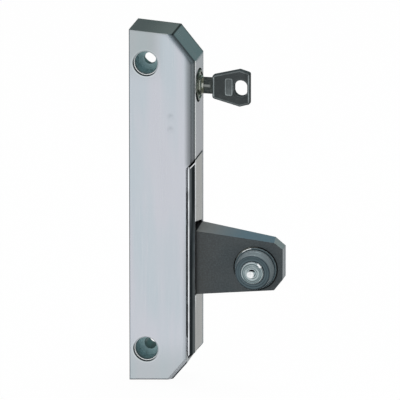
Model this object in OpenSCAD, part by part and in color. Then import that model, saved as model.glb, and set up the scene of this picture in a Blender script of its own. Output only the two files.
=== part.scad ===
// Lockable drawer latch with a swing-out lever and a roller arm.
// Origin: middle between the two fixing holes, on the mounting plane.
// +Z up along the body, -Y is the front face, +X is the side with the lever.

/* [Body] */
// Height of the body at its left edge
body_h = 200; // [190:1:230]
// Width of the body
body_w = 36.5; // [36:0.5:42]
// Depth of the body from the mounting plane to the front face
body_d = 24; // [23:0.5:27]
// Thickness of the cast walls
wall = 2.5; // [2:0.1:2.8]
// Fall of each end edge from the left corner to the corner cut
end_fall = 1.6; // [0:0.1:4]
// Width of the two corner cuts
cut_w = 12.3; // [10:0.1:13]
// Height of the two corner cuts
cut_h = 14.9; // [12:0.1:17]
// Bevel of the front edge along the lever side
side_bevel = 2.3; // [1.6:0.1:2.4]
// Bevel of the front edges along the corner cuts
cut_bevel = 2.1; // [1:0.1:2.2]
// Bevel of the front edges at the two ends
end_bevel = 0.4; // [0.2:0.1:0.8]
// Bevel of the left front edge
left_bevel = 0.5; // [0.3:0.1:1]
// Thickness of the cover at the back
cover_t = 2.5; // [2:0.1:3]

/* [Fixing holes] */
// Distance of the fixing holes from the body's ends
fix_end = 18.5; // [17.5:0.1:19.5]
// Distance of the fixing holes from the left edge
fix_inset = 9.5; // [9.4:0.1:10.5]
// Diameter of the fixing holes
fix_d = 6.6; // [5.5:0.1:7]
// Diameter of the screw head's recess
fix_head_d = 12.8; // [11:0.1:13]
// Depth of the screw head's recess
fix_head_depth = 11; // [6:0.5:13]
// Width of the thin ledge round the recess
fix_ledge = 0.6; // [0.3:0.1:1]
// Depth of the thin ledge
fix_ledge_depth = 0.9; // [0.5:0.1:1.5]
// Wall between the recess and the relief behind it, upper hole
fix_web = 3; // [2:0.1:4]
// Wall round the screw head's recess
fix_boss_wall = 2.1; // [1.5:0.1:2.1]

/* [Lever] */
// Width of the lever on the front face
lever_w = 3.5; // [3:0.1:4]
// Distance of the lever's top end below the lock's axis
lever_down = 40.2; // [40:0.1:44]
// Slope of the lever's top end across the front face
lever_top_fall = 4.3; // [1:0.1:4.6]
// Gap between lever and body on the front face
lever_gap = 0.95; // [0.8:0.05:1.2]
// Gap between the lever's ends and the body
lever_end_gap = 0.9; // [0.5:0.05:1]
// Size of the finger bevel at the lever's top end
finger_bevel = 3.4; // [2:0.1:4]
// Gap between the arm and the upper edge of the lever's window
window_over = 6.1; // [5.5:0.1:7]
// Gap between the arm and the lower edge of the window, on which it rests
window_under = 0.3; // [0.3:0.1:1]
// Height of the lever's pin from the body's lower end
lever_pin_up = 14.5; // [14.2:0.1:15]
// Distance of the lever's pin from the lever side
lever_pin_in = 9; // [8.8:0.1:9.2]
// Diameter of the lever's pin
lever_pin_d = 3; // [2.5:0.1:3.2]

/* [Arm] */
// Reach of the arm from the lever side to its tip
arm_reach = 48.5; // [46:0.5:52]
// Height of the arm's hinge above the middle of the body
arm_z = -32; // [-32.5:0.1:-31.5]
// Distance of the arm's hinge from the left edge
arm_pin_in = 13; // [12.5:0.1:13.5]
// Distance of the arm's front face from the front plane
arm_set_back = 5; // [4.8:0.1:5.5]
// Thickness of the arm where it leaves the body
arm_root_t = 16; // [14:0.1:16]
// Thickness of the arm at its tip
arm_tip_t = 8.4; // [8:0.1:9]
// Height of the arm where it leaves the body
arm_root_h = 36.1; // [34:0.1:36.1]
// Height of the arm just before its corner bevels
arm_tip_h = 26.6; // [25:0.1:28]
// Diameter of the arm's hinge pin
arm_pin_d = 6; // [5:0.1:6.5]
// Outside diameter of the arm's hub
arm_hub_d = 18; // [16:0.5:18]

/* [Roller] */
// Distance of the roller's axis from the lever side
roller_out = 33.4; // [32.5:0.1:34]
// Height of the roller's axis above the middle of the body
roller_z = -32.9; // [-33:0.1:-32]
// Diameter of the roller at the arm
roller_base_d = 24; // [22:0.1:24]
// Diameter of the roller at its front
roller_front_d = 19.8; // [18:0.1:21]
// How far the roller stands out of the arm
roller_proud = 8.7; // [8:0.1:10]
// Diameter of the roller screw's head
roller_head_d = 12.8; // [12:0.1:13.4]
// Diameter of the roller screw's shoulder
roller_shoulder_d = 8; // [7:0.1:8]

/* [Lock] */
// Distance of the lock's axis below the body's upper end
lock_down = 32.6; // [32:0.1:33]
// Distance of the lock's axis behind the front face
lock_in = 13; // [12.8:0.1:13.2]
// Diameter of the lock's body
lock_d = 16; // [15:0.1:16]
// Diameter of the recess in the body's side
lock_recess_d = 18.8; // [18:0.1:19.6]
// Diameter of the turning plug
plug_d = 11; // [10.8:0.1:11.4]
// How far the plug stands out of the side
plug_proud = 2; // [1:0.1:2.2]
// Radius of the crank pin's circle
crank_r = 5; // [4.6:0.1:5]
// Thickness of the key's blade
key_t = 2.2; // [1.8:0.1:2.4]
// Height of the key's blade in the plug
key_h = 8.2; // [7.4:0.1:8.2]
// Width of the key's head
key_head_w = 20.4; // [19:0.1:23]
// Thickness of the key's head
key_head_t = 5.6; // [5:0.1:6.5]

/* [Hidden] */

$fn = 64;
// More than enough to cut right through a wall
past = 1;
// Running clearance on a pin, and clearance of a loose sliding piece
run_c = 0.05;
slide_c = 0.15;
// Clearance between pieces that are bolted or pressed together
seat_c = 0.02;

// Planes of the body
left_x = -fix_inset;
right_x = left_x + body_w;
front_y = -body_d;
inner_y = front_y + wall;
cover_y = -cover_t;
half_h = body_h / 2;
fix_pitch = body_h - 2 * fix_end;
lock_z = half_h - lock_down;
corner_x = right_x - cut_w;
corner_z = half_h - end_fall - cut_h;
outline = [[left_x, half_h], [corner_x, half_h - end_fall], [right_x, corner_z],
           [right_x, -corner_z], [corner_x, end_fall - half_h], [left_x, -half_h]];
bevels = [end_bevel, cut_bevel, side_bevel, cut_bevel, end_bevel, left_bevel];

// Lever
lever_top = lock_z - lever_down;
lever_x = right_x - lever_w;
lever_back_y = cover_y - 0.3;
lever_pin_x = right_x - lever_pin_in;
lever_pin_z = lever_pin_up - half_h;
lever_hub_r = lever_pin_d / 2 + 1.7;
lever_hub_y = [inner_y + 1, -9.5];
slot_x = lever_x - lever_gap;
slot_top = lever_top + lever_end_gap;
slot_corner_z = slot_top - lever_top_fall * (lever_w + lever_gap) / lever_w;

// Hook pocket at the lever's top end
hook_x = [lever_x - 9, lever_x - 6.4];
hook_z = [lever_top - 13.2, lever_top - 4.2];
hook_y = [inner_y + 1.5, -5.5];
hook_floor = 1.2;

// Arm
arm_x = left_x + arm_pin_in;
arm_y = front_y + arm_set_back;
arm_root_y = arm_y + arm_root_t;
arm_tip_x = right_x + arm_reach;
arm_root_top = arm_z + arm_root_h / 2 + 0.25;
arm_tip_top = arm_z + arm_tip_h / 2 + 0.5;
window_top = arm_root_top + window_over;
window_bottom = arm_root_top - arm_root_h - window_under;
arm_top_draft = 4;
arm_bush_r = arm_pin_d / 2 + 1.5;

// Roller
roller_x = right_x + roller_out;
pocket_depth = 1.2;
pocket_y = arm_y + pocket_depth;
roller_washer_t = 0.6;
roller_back_y = pocket_y - roller_washer_t - 0.1;
roller_front_y = arm_y - roller_proud;
head_recess = 3.6;
head_t = 3;
roller_web_y = roller_front_y + head_recess;
roller_bush_r = roller_shoulder_d / 2 + 1.45;
roller_thread_d = 6;
nut_af = 10;
nut_t = 5;
nut_seat_y = arm_y + 5.6;

// Lock
lock_y = front_y + lock_in;
rim_proud = 0.7;
recess_depth = 1.2;
lock_back_x = right_x - 14.4;
cam_x = [lock_back_x - 3, lock_back_x - 0.5];
slide_x = [cam_x[0] - 3.1, cam_x[0] - 0.6];
crank_pin_r = 1.5;
crank_start = 45;
slide_travel = 2 * crank_r * sin(crank_start);
clip_x = [lock_back_x + 4.6, lock_back_x + 5.8];
clip_groove = 1;
plug_front_x = right_x + plug_proud;
tail_w = 5;
cam_screw_r = 1.5;
cam_head_r = 2.6;
wafer_w = 5;
wafer_h = 9.5;
wafer_t = 1;
wafer_pitch = 2;
wafer_x0 = lock_back_x + 3.9;

// Key
key_neck_h = key_h + 0.6;
key_tip_x = lock_back_x + 3;
key_head_x = right_x + 7.4;
key_tang = 7;
key_head_l = 22.2;
key_corner_r = 1.6;
ring_hole = [7.5, 9.4];

// Locking slide, its guide and its detent
slide_w = 5.6;
slide_y0 = lock_y - 8.5;
nose_x = [hook_x[1] + 0.4, hook_x[1] + 4.4];
nose_z = hook_z[1] + 1;
foot_z = [nose_z + 9, nose_z + 14];
guide_z = [nose_z + 18, nose_z + 30];
guide_x = [slide_x[0] - 3.4, slide_x[1] + 8];
guide_back_y = slide_y0 + slide_w + 2.4;
ball_r = 1.4;
ball_sink = 0.5;

// Screws of the cover, and places for them inside the shell
cover_screw_r = 1.5;
cover_boss_r = 3.5;
cover_screw_l = 9.6;
cover_boss = [[corner_x - 0.2, half_h - 14], [left_x + wall + 3, 0.48 * half_h],
              [left_x + wall + 3, -0.58 * half_h], [corner_x - 2.2, -0.66 * half_h]];
guide_screw_r = 1.25;
// How far the guide's screws sit in from its edges
guide_screw_in = [3.2, 2.4];

// Height of the lower corner cut's edge at a given x
function low_edge(x) = -corner_z - (right_x - x) * cut_h / cut_w;

// Unit normal that points into a clockwise outline, from a to b
function inward(a, b) = [b.y - a.y, a.x - b.x] / norm(b - a);

// The outline moved inwards by a distance
function inset(points, by) = [
    for (i = [0 : len(points) - 1])
        let (n = len(points), p = points[i],
             m = inward(points[(i + n - 1) % n], p), k = inward(p, points[(i + 1) % n]))
        p + by * (m + k) / (1 + m * k)];

// A shape drawn in x and z, from y0 to y1
module plate_y(y0, y1) {
    translate([0, y1, 0]) rotate([90, 0, 0]) linear_extrude(y1 - y0) children();
}

// A shape drawn in y and z, from x0 to x1
module plate_x(x0, x1) {
    translate([x0, 0, 0]) rotate([90, 0, 90]) linear_extrude(x1 - x0) children();
}

// Round bars along Y and along X
module bar_y(x, z, y0, y1, r) {
    translate([x, y0, z]) rotate([-90, 0, 0]) cylinder(r = r, h = y1 - y0);
}

module bar_x(y, z, x0, x1, r) {
    translate([x0, y, z]) rotate([0, 90, 0]) cylinder(r = r, h = x1 - x0);
}

// A revolved profile of [radius, distance along +Y] about an axis through x, z
module turned_y(x, z, y, profile) {
    translate([x, y, z]) rotate([-90, 0, 0]) rotate_extrude() polygon(profile);
}

// The same along +X
module turned_x(y, z, x, profile) {
    translate([x, y, z]) rotate([0, 90, 0]) rotate_extrude() polygon(profile);
}

// A block between two corners
module block(low, high) {
    translate(low) cube(high - low);
}

// What bevelling the front edge from a to b takes away
module edge_cut(a, b, size) {
    over = 2 * size;
    translate([a.x, 0, a.y]) rotate([0, -atan2(b.y - a.y, b.x - a.x), 0])
        translate([-over, 0, 0]) rotate([90, 0, 90]) linear_extrude(norm(b - a) + 2 * over)
            polygon([[front_y - past, -size - past], [front_y + size + past, past],
                     [front_y - past, past]]);
}

module front_edge_cuts() {
    for (i = [0 : len(outline) - 1])
        edge_cut(outline[i], outline[(i + 1) % len(outline)], bevels[i]);
}

// Housing

module shell() {
    difference() {
        plate_y(front_y, 0) polygon(outline);
        plate_y(inner_y, past) polygon(inset(outline, wall));
        // Side and front corner that the lever fills
        plate_y(front_y - past, cover_y)
            polygon([[slot_x, slot_corner_z], [right_x, slot_top], [right_x + past, slot_top],
                     [right_x + past, -half_h], [slot_x, -half_h]]);
        // Room for the lever's hub inside the lower corner
        bar_y(lever_pin_x, lever_pin_z, inner_y, past, lever_hub_r + 0.4);
    }
}

module housing_bosses() {
    for (side = [-1, 1])
        bar_y(0, side * fix_pitch / 2, front_y + wall / 2, 0, fix_head_d / 2 + fix_boss_wall);
    for (p = cover_boss)
        bar_y(p.x, p.y, front_y + wall / 2, cover_y, cover_boss_r);
    bar_y(arm_x, arm_z, front_y + wall / 2, arm_y - 0.6, arm_pin_d / 2 + 3);
    bar_y(lever_pin_x, lever_pin_z, front_y + wall / 2, lever_hub_y[0] - 0.2, lever_hub_r);
    // Collar behind the lock's recess
    intersection() {
        bar_x(lock_y, lock_z, clip_x[1] + 0.05, right_x - wall / 2, lock_d / 2 + 2.8);
        block([left_x, inner_y - wall / 2, 0], [right_x, cover_y - 0.1, half_h]);
    }
    // Cross ribs inside
    for (rib = [[0.08 * half_h, 22], [-0.12 * half_h, 8], [-0.72 * half_h, 12]])
        block([left_x + wall / 2, inner_y - wall / 2, rib[0]],
              [left_x + wall + rib[1], inner_y + 5, rib[0] + wall * 0.8]);
}

module fixing_hole(z, relief) {
    bar_y(0, z, front_y - past, past, fix_d / 2);
    bar_y(0, z, front_y - past, front_y + fix_head_depth, fix_head_d / 2);
    bar_y(0, z, front_y - past, front_y + fix_ledge_depth, fix_head_d / 2 + fix_ledge);
    if (relief)
        bar_y(0, z, front_y + fix_head_depth + fix_web, past, fix_head_d / 2);
}

module housing() {
    color("silver") difference() {
        union() {
            shell();
            housing_bosses();
        }
        front_edge_cuts();
        fixing_hole(fix_pitch / 2, true);
        fixing_hole(-fix_pitch / 2, false);
        for (p = cover_boss)
            bar_y(p.x, p.y, cover_y - cover_screw_l - 1.4, past, cover_screw_r + seat_c);
        for (z = [guide_z[0] + guide_screw_in.y, guide_z[1] - guide_screw_in.y])
            bar_y(guide_x[1] - guide_screw_in.x, z, inner_y - 1.3, inner_y + past, guide_screw_r + seat_c);
        bar_y(arm_x, arm_z, inner_y - 1, past, arm_pin_d / 2 + seat_c);
        bar_y(lever_pin_x, lever_pin_z, inner_y - 1, past, lever_pin_d / 2 + seat_c);
        bar_x(lock_y, lock_z, clip_x[0], right_x + past, lock_d / 2 + seat_c);
        bar_x(lock_y, lock_z, right_x - recess_depth, right_x + past, lock_recess_d / 2);
    }
}

module back_plate() {
    color("gainsboro") difference() {
        plate_y(cover_y, 0) polygon(inset(outline, wall + slide_c));
        for (side = [-1, 1])
            bar_y(0, side * fix_pitch / 2, cover_y - past, past,
                  fix_head_d / 2 + fix_boss_wall + slide_c);
        for (p = cover_boss)
            turned_y(p.x, p.y, cover_y - 0.01,
                     [[0, 0], [cover_screw_r + seat_c, 0], [cover_screw_r + seat_c, cover_t - 1.4],
                      [2 * cover_screw_r + 0.08, cover_t + 0.02], [0, cover_t + 0.02]]);
        bar_y(arm_x, arm_z, cover_y - past, past, arm_pin_d / 2 + seat_c);
        bar_y(lever_pin_x, lever_pin_z, cover_y - past, past, lever_pin_d / 2 + seat_c);
    }
}

// Countersunk screw with a cross recess, head flush with the mounting plane
module cover_screw(i) {
    r = cover_screw_r;
    color("dimgray") translate([cover_boss[i].x, 0, cover_boss[i].y]) difference() {
        rotate([90, 0, 0]) rotate_extrude()
            polygon([[0, 0.05], [2 * r - 0.1, 0.05], [r, 1.45], [r, cover_t + cover_screw_l - 0.6],
                     [r - 0.4, cover_t + cover_screw_l], [0, cover_t + cover_screw_l]]);
        for (turn = [0, 90])
            rotate([0, turn, 0]) block([-1.6, -1.1, -0.35], [1.6, past, 0.35]);
    }
}

// Lever

module lever_skin() {
    intersection() {
        plate_y(front_y, lever_back_y)
            polygon([[lever_x, lever_top - lever_top_fall], [right_x, lever_top],
                     [right_x, low_edge(right_x) + lever_end_gap],
                     [lever_x, low_edge(lever_x) + 2 * lever_end_gap]]);
        union() {
            block([lever_x, front_y, -half_h], [right_x, inner_y, half_h]);
            block([right_x - wall, front_y, -half_h], [right_x, lever_back_y, half_h]);
        }
    }
}

// Web from the hub to the lever's side, with room for the corner of the shell below it
module lever_web() {
    side = lever_pin_in - wall / 2;
    plate_y(lever_hub_y[0], lever_hub_y[1]) translate([lever_pin_x, lever_pin_z])
        polygon([[0, 0], [side, side * 0.655], [side, side * 2], [-1.5, lever_hub_r * 0.8]]);
}

// Upward-open pocket that the locking slide's nose drops into
module hook_pocket() {
    plate_y(hook_y[0], hook_y[1])
        polygon([[hook_x[0], hook_z[1]], [hook_x[0], hook_z[0] + 3], [hook_x[0] + 4, hook_z[0] - 2],
                 [right_x - wall / 2, hook_z[0] - 8], [right_x - wall / 2, hook_z[1]],
                 [nose_x[1] + 0.4, hook_z[1]], [nose_x[1] + 0.4, hook_z[0] + hook_floor],
                 [hook_x[1], hook_z[0] + hook_floor], [hook_x[1], hook_z[1]]]);
}

module lever_window() {
    slant = 4.2;
    translate([right_x - wall - past, 0, 0]) rotate([90, 0, 90]) linear_extrude(wall + 2 * past)
        polygon([[inner_y, window_top], [lever_back_y + past, window_top - slant],
                 [lever_back_y + past, window_bottom], [inner_y, window_bottom]]);
}

module lever() {
    color("gainsboro") difference() {
        union() {
            lever_skin();
            lever_web();
            bar_y(lever_pin_x, lever_pin_z, lever_hub_y[0], lever_hub_y[1], lever_hub_r);
            hook_pocket();
            // Ramp that carries the arm, falling away inwards
            plate_y(arm_y + 0.4, arm_root_y - 0.4)
                polygon([[right_x - wall / 2, window_bottom - 0.5], [right_x - wall - 5, window_bottom - 2.6],
                         [right_x - wall - 5, window_bottom - 4.6], [right_x - wall / 2, window_bottom - 7]]);
            for (z = [window_top + 9.6, -0.62 * half_h])
                plate_y(front_y + wall / 2, lever_back_y - 5) translate([lever_x + 0.2, z])
                    square([lever_w - wall / 2, wall * 0.8]);
        }
        front_edge_cuts();
        lever_window();
        bar_y(lever_pin_x, lever_pin_z, front_y - past, past, lever_pin_d / 2 + run_c);
        // Finger bevel across the top of the front flange
        translate([0, front_y, lever_top - finger_bevel]) rotate([45, 0, 0])
            block([lever_x - past, -body_d, 0], [right_x + past, body_d, 3 * finger_bevel]);
    }
}

module lever_pin() {
    color("lightgray") bar_y(lever_pin_x, lever_pin_z, inner_y - 0.9, -0.2, lever_pin_d / 2);
}

// Wire of radius r along a list of points that never runs straight along the given axis
module wire(points, r, axis) {
    sides = 8;
    n = len(points);
    rings = [for (i = [0 : n - 1])
        let (t = points[min(i + 1, n - 1)] - points[max(i - 1, 0)],
             u = cross(t, axis) / norm(cross(t, axis)),
             v = cross(u, t) / norm(t))
        for (k = [0 : sides - 1])
            points[i] + r * (cos(360 * k / sides) * u + sin(360 * k / sides) * v)];
    walls = [for (i = [0 : n - 2]) for (k = [0 : sides - 1])
        let (a = i * sides + k, b = i * sides + (k + 1) % sides)
        each [[a, b, b + sides], [a, b + sides, a + sides]]];
    polyhedron(rings, concat([[for (k = [sides - 1 : -1 : 0]) k]], walls,
                             [[for (k = [0 : sides - 1]) (n - 1) * sides + k]]));
}

// Torsion spring on the lever's pin, one leg on the shell and one on the lever's web
module lever_spring() {
    coil_r = 2.7;
    wire_r = 0.4;
    turns = 3.5;
    steps = 14;
    pitch = 1.05;
    y0 = lever_hub_y[1] + 0.9;
    y1 = y0 + turns * pitch;
    // Places where the legs bear, seen from the pin
    boss = cover_boss[3] + [cover_boss_r + wire_r + 0.1 - lever_pin_x, -lever_pin_z];
    side = lever_pin_in - wall - wire_r - 0.1;
    coil = [for (i = [0 : turns * steps])
        let (a = 180 + i * 360 / steps)
        [coil_r * cos(a), y0 + pitch * i / steps, coil_r * sin(a)]];
    shell_leg = [[boss.x, y0, boss.y], [-coil_r, y0, 2]];
    lever_leg = [[coil_r, y1, 2], [side, y1, side + 4], [side, y1, 2 * side + 5]];
    color("slategray") translate([lever_pin_x, 0, lever_pin_z])
        wire(concat(shell_leg, coil, lever_leg), wire_r, [0, 1, 0]);
}

// Arm

// The arm from the front, its top raised by a distance along the corner's own slope
module arm_outline(up) {
    upper = [4.2, 3.1];
    lower = [4.8, 6.3];
    polygon([[arm_x + 2, arm_z + arm_hub_d / 2], [right_x - 7, arm_root_top + 0.4 + up],
             [right_x, arm_root_top + up],
             [arm_tip_x - upper.x * (1 + up / upper.y), arm_tip_top + up],
             [arm_tip_x, arm_tip_top - upper.y],
             [arm_tip_x, arm_tip_top - arm_tip_h + lower.y], [arm_tip_x - lower.x, arm_tip_top - arm_tip_h],
             [right_x, arm_root_top - arm_root_h], [right_x - 6, arm_root_top - arm_root_h + 0.4],
             [arm_x + 2, arm_z - arm_hub_d / 2]]);
}

module arm_body() {
    slope = atan((arm_root_top - arm_tip_top) / arm_reach);
    intersection() {
        // Seen from the front, with a little to spare at the top for the draft
        plate_y(arm_y, arm_root_y) arm_outline(2);
        // Seen from above: the back leans towards the tip
        translate([0, 0, arm_z - arm_root_h]) linear_extrude(2 * arm_root_h)
            polygon([[arm_x, arm_y], [arm_tip_x, arm_y], [arm_tip_x, arm_y + arm_tip_t],
                     [right_x, arm_root_y], [arm_x, arm_root_y]]);
        // Top face with draft, higher at the back
        translate([right_x, arm_y, arm_root_top]) rotate([0, slope, 0]) rotate([arm_top_draft, 0, 0])
            block([-60, -20, -90], [80, 40, 0]);
    }
}

module roller_arm() {
    color("dimgray") difference() {
        union() {
            arm_body();
            bar_y(arm_x, arm_z, arm_y, arm_root_y, arm_hub_d / 2);
        }
        bar_y(arm_x, arm_z, arm_y - past, arm_root_y + past, arm_bush_r + seat_c);
        bar_y(roller_x, roller_z, arm_y - past, pocket_y, roller_base_d / 2 + 0.3);
        bar_y(roller_x, roller_z, arm_y - past, arm_root_y, roller_thread_d / 2 + seat_c);
        bar_y(roller_x, roller_z, nut_seat_y, arm_root_y, nut_af / 2 + 2.4);
    }
}

module arm_bush() {
    color("goldenrod") difference() {
        bar_y(arm_x, arm_z, arm_y, arm_root_y, arm_bush_r);
        bar_y(arm_x, arm_z, arm_y - past, arm_root_y + past, arm_pin_d / 2 + run_c);
    }
}

module arm_pin() {
    color("lightgray") bar_y(arm_x, arm_z, inner_y - 0.9, -0.2, arm_pin_d / 2);
}

module arm_washer() {
    color("goldenrod") difference() {
        bar_y(arm_x, arm_z, arm_y - 0.58, arm_y - 0.08, arm_pin_d / 2 + 3);
        bar_y(arm_x, arm_z, arm_y - past, arm_y + past, arm_pin_d / 2 + run_c);
    }
}

// Roller

module roller() {
    base = roller_base_d / 2;
    front = roller_front_d / 2;
    len_y = roller_back_y - roller_front_y;
    step = 1.6;
    color("gray") turned_y(roller_x, roller_z, roller_front_y,
        [[roller_head_d / 2 + 0.5, 0], [front - 0.8, 0], [front, 0.6], [base - 0.2, len_y - step],
         [base, len_y - step + 0.4], [base, len_y - 0.3], [base - 0.3, len_y],
         [roller_bush_r + run_c, len_y], [roller_bush_r + run_c, head_recess],
         [roller_head_d / 2 + 0.5, head_recess]]);
}

module roller_bush() {
    color("goldenrod") difference() {
        bar_y(roller_x, roller_z, roller_web_y - 0.1, roller_back_y + 0.1, roller_bush_r);
        bar_y(roller_x, roller_z, roller_web_y - past, roller_back_y + past, roller_shoulder_d / 2 + seat_c);
    }
}

module roller_washer() {
    color("silver") difference() {
        bar_y(roller_x, roller_z, pocket_y - roller_washer_t, pocket_y, roller_bush_r + 2.6);
        bar_y(roller_x, roller_z, pocket_y - past, pocket_y + past, roller_thread_d / 2 + seat_c);
    }
}

// Shoulder screw with a hexagon socket and turned rings on its head
module roller_screw() {
    head_r = roller_head_d / 2;
    head_y = roller_web_y - 0.1 - head_t;
    shoulder = roller_back_y + 0.1 - head_y;
    end = nut_seat_y + nut_t + 0.8 - head_y;
    thread = roller_thread_d / 2;
    socket_r = 3.5;
    color("silver") difference() {
        turned_y(roller_x, roller_z, head_y,
            [[0, 0], [head_r - 1.9, 0], [head_r - 1.7, 0.3], [head_r - 1.3, 0.3], [head_r - 1.1, 0],
             [head_r - 0.5, 0], [head_r, 0.5], [head_r, head_t], [roller_shoulder_d / 2, head_t],
             [roller_shoulder_d / 2, shoulder], [thread, shoulder], [thread, end - 0.6],
             [thread - 0.6, end], [0, end]]);
        turned_y(roller_x, roller_z, head_y - 0.01,
            [[0, 0], [socket_r, 0], [socket_r - 0.5, 0.4], [socket_r - 0.5, 1.6], [0, 2.6]]);
    }
}

module roller_nut() {
    color("silver") translate([roller_x, nut_seat_y, roller_z]) rotate([-90, 0, 0]) difference() {
        cylinder(d = nut_af / cos(30), h = nut_t, $fn = 6);
        translate([0, 0, -past]) cylinder(r = roller_thread_d / 2 + seat_c, h = nut_t + 2 * past);
    }
}

// Lock

module lock_cylinder() {
    body_r = lock_d / 2;
    rim_r = body_r + 0.5;
    front_x = right_x + rim_proud;
    seat_x = right_x - recess_depth;
    color("silver") difference() {
        union() {
            bar_x(lock_y, lock_z, lock_back_x, seat_x + past, body_r);
            turned_x(lock_y, lock_z, seat_x,
                [[0, 0], [rim_r, 0], [rim_r, front_x - seat_x - 0.7], [rim_r - 1, front_x - seat_x],
                 [0, front_x - seat_x]]);
        }
        bar_x(lock_y, lock_z, lock_back_x - past, front_x + past, plug_d / 2 + run_c);
        // Flats that the clip slides over
        for (side = [-1, 1])
            translate([clip_x[0] - seat_c, lock_y + side * (body_r - clip_groove + past) - past, lock_z - body_r])
                cube([clip_x[1] - clip_x[0] + 2 * seat_c, 2 * past, 2 * body_r]);
    }
}

// U-shaped clip, pushed up over the cylinder's flats behind the collar
module lock_clip() {
    r = lock_d / 2;
    inner = r - clip_groove + seat_c;
    color("dimgray") plate_x(clip_x[0], clip_x[1]) translate([lock_y, lock_z]) difference() {
        translate([-r - 1.4, -r - 2]) square([2 * r + 1.6, 2 * r]);
        translate([-inner, 0]) square([2 * inner, r + past]);
        circle(r + seat_c);
    }
}

module lock_plug() {
    key_slot = [key_t + 0.2, key_h + 0.3];
    color("goldenrod") difference() {
        union() {
            turned_x(lock_y, lock_z, cam_x[1],
                [[0, 0], [plug_d / 2, 0], [plug_d / 2, plug_front_x - cam_x[1] - 0.6],
                 [plug_d / 2 - 0.6, plug_front_x - cam_x[1]], [0, plug_front_x - cam_x[1]]]);
            block([cam_x[0], lock_y - tail_w / 2, lock_z - tail_w / 2],
                  [cam_x[1] + past, lock_y + tail_w / 2, lock_z + tail_w / 2]);
        }
        block([key_tip_x - 0.3, lock_y - key_slot[0] / 2, lock_z - key_slot[1] / 2],
              [plug_front_x + past, lock_y + key_slot[0] / 2, lock_z + key_slot[1] / 2]);
        for (i = [0 : 4])
            block([wafer_x0 + i * wafer_pitch - 0.05, lock_y - wafer_w / 2 - 0.05, lock_z - wafer_h / 2 - 0.05],
                  [wafer_x0 + i * wafer_pitch + wafer_t + 0.05, lock_y + wafer_w / 2 + 0.05,
                   lock_z + wafer_h / 2 + 0.05]);
        bar_x(lock_y, lock_z, cam_x[0] - past, cam_x[1] + 1.6, cam_screw_r + seat_c);
    }
}

module wafer(i) {
    x = wafer_x0 + i * wafer_pitch;
    color("gold") plate_x(x, x + wafer_t) translate([lock_y, lock_z]) difference() {
        square([wafer_w, wafer_h], center = true);
        square([key_t + 0.3, key_h + 0.4], center = true);
    }
}

// The crank points up and forward at rest and turns down past the horizontal
module at_crank() {
    translate([0, lock_y - crank_r * cos(crank_start), lock_z + crank_r * sin(crank_start)]) children();
}

module lock_cam() {
    color("lightgray") difference() {
        union() {
            bar_x(lock_y, lock_z, cam_x[0], cam_x[1], tail_w / 2 + 2);
            hull() {
                at_crank() bar_x(0, 0, cam_x[0], cam_x[1], crank_pin_r + 0.9);
                bar_x(lock_y, lock_z, cam_x[0], cam_x[1], crank_pin_r + 1.4);
            }
        }
        block([cam_x[0] - past, lock_y - tail_w / 2 - 0.05, lock_z - tail_w / 2 - 0.05],
              [cam_x[1] + past, lock_y + tail_w / 2 + 0.05, lock_z + tail_w / 2 + 0.05]);
        at_crank() bar_x(0, 0, cam_x[0] - past, cam_x[1] + past, crank_pin_r + seat_c);
    }
}

module cam_pin() {
    color("silver") at_crank() bar_x(0, 0, slide_x[0] + 0.1, cam_x[1], crank_pin_r);
}

module cam_screw() {
    color("dimgray") difference() {
        union() {
            bar_x(lock_y, lock_z, cam_x[0] - 1.5, cam_x[0], cam_head_r);
            bar_x(lock_y, lock_z, cam_x[0] - 0.1, cam_x[1] + 1.4, cam_screw_r);
        }
        block([cam_x[0] - 1.6, lock_y - cam_head_r - 0.4, lock_z - 0.35],
              [cam_x[0] - 0.8, lock_y + cam_head_r + 0.4, lock_z + 0.35]);
    }
}

// Locking slide: fork round the crank pin, stem, foot and nose
module locking_slide() {
    y1 = slide_y0 + slide_w;
    pin_z = lock_z + crank_r * sin(crank_start);
    prong = 2;
    slot = crank_pin_r + 2 * slide_c;
    color("lightsteelblue") difference() {
        union() {
            block([slide_x[0], slide_y0, foot_z[0]], [slide_x[1], y1, pin_z + slot + prong]);
            block([slide_x[0], slide_y0, foot_z[0]], [nose_x[1], hook_y[1] - 0.5, foot_z[1]]);
            plate_y(slide_y0, hook_y[1] - 0.5)
                polygon([[nose_x[0], foot_z[0] + 2], [nose_x[0], nose_z + 0.8], [nose_x[0] + 0.8, nose_z],
                         [nose_x[1] - 0.8, nose_z], [nose_x[1], nose_z + 0.8], [nose_x[1], foot_z[0] + 2]]);
        }
        block([slide_x[0] - past, lock_y - crank_r - slot - 0.2, pin_z - slot],
              [slide_x[1] + past, y1 + past, pin_z + slot]);
        // Groove and two seats for the detent ball
        hull() for (z = [0, slide_travel])
            translate([slide_x[1] + ball_r - ball_sink, slide_y0 + slide_w / 2, ball_z() + z])
                sphere(r = ball_r + slide_c, $fn = 24);
    }
}

function ball_z() = (guide_z[0] + guide_z[1]) / 2;

module slide_guide() {
    y_mid = slide_y0 + slide_w / 2;
    color("darkgray") difference() {
        block([guide_x[0], inner_y, guide_z[0]], [guide_x[1], guide_back_y, guide_z[1]]);
        block([slide_x[0] - slide_c, slide_y0 - slide_c, guide_z[0] - past],
              [slide_x[1] + slide_c, slide_y0 + slide_w + slide_c, guide_z[1] + past]);
        bar_x(y_mid, ball_z(), slide_x[1], guide_x[1] + past, ball_r + run_c);
        for (z = [guide_z[0] + guide_screw_in.y, guide_z[1] - guide_screw_in.y])
            bar_y(guide_x[1] - guide_screw_in.x, z, inner_y - past, guide_back_y + past, guide_screw_r + seat_c);
    }
}

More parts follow.
